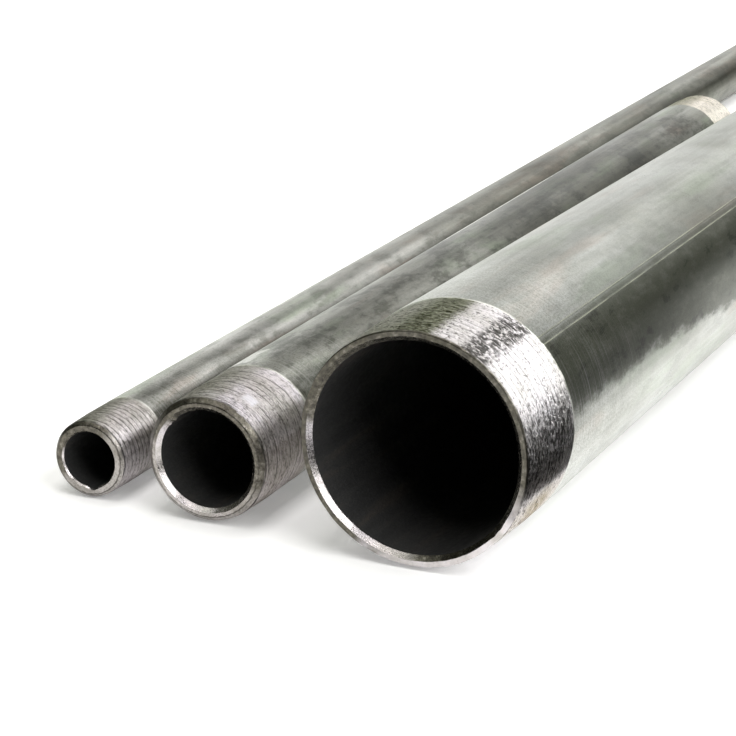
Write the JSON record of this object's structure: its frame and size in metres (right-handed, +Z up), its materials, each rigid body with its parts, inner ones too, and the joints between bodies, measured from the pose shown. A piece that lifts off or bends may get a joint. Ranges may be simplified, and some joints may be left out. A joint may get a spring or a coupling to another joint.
{
  "type": "steel pipe stack",
  "caption": "Straight round galvanised steel pipes of graded bore with taper pipe threads cut on both ends, lying side by side in one layer as plumbing or gas pipe stock.",
  "frame": {"origin": "centre of the bounding box at floor level", "axes": "+Y along the two-inch pipe away from the ends that face the viewer in the picture, +Z up, +X from the smallest pipe towards the largest"},
  "size_m": [0.1674, 1.0098, 0.0602],
  "materials": {
    "zinc_small": "dull cloudy zinc, olive grey, bare bright steel on the cut threads",
    "zinc_medium": "dull mottled zinc with brownish runs, bare bright steel on the cut threads",
    "zinc_large": "satin zinc with a planed weld seam, bare bright torn steel on the cut threads"
  },
  "bodies": {
    "root": {"half_inch_pipe": "zinc_small", "one_inch_pipe": "zinc_medium", "two_inch_pipe": "zinc_large"}
  },
  "joints": []
}
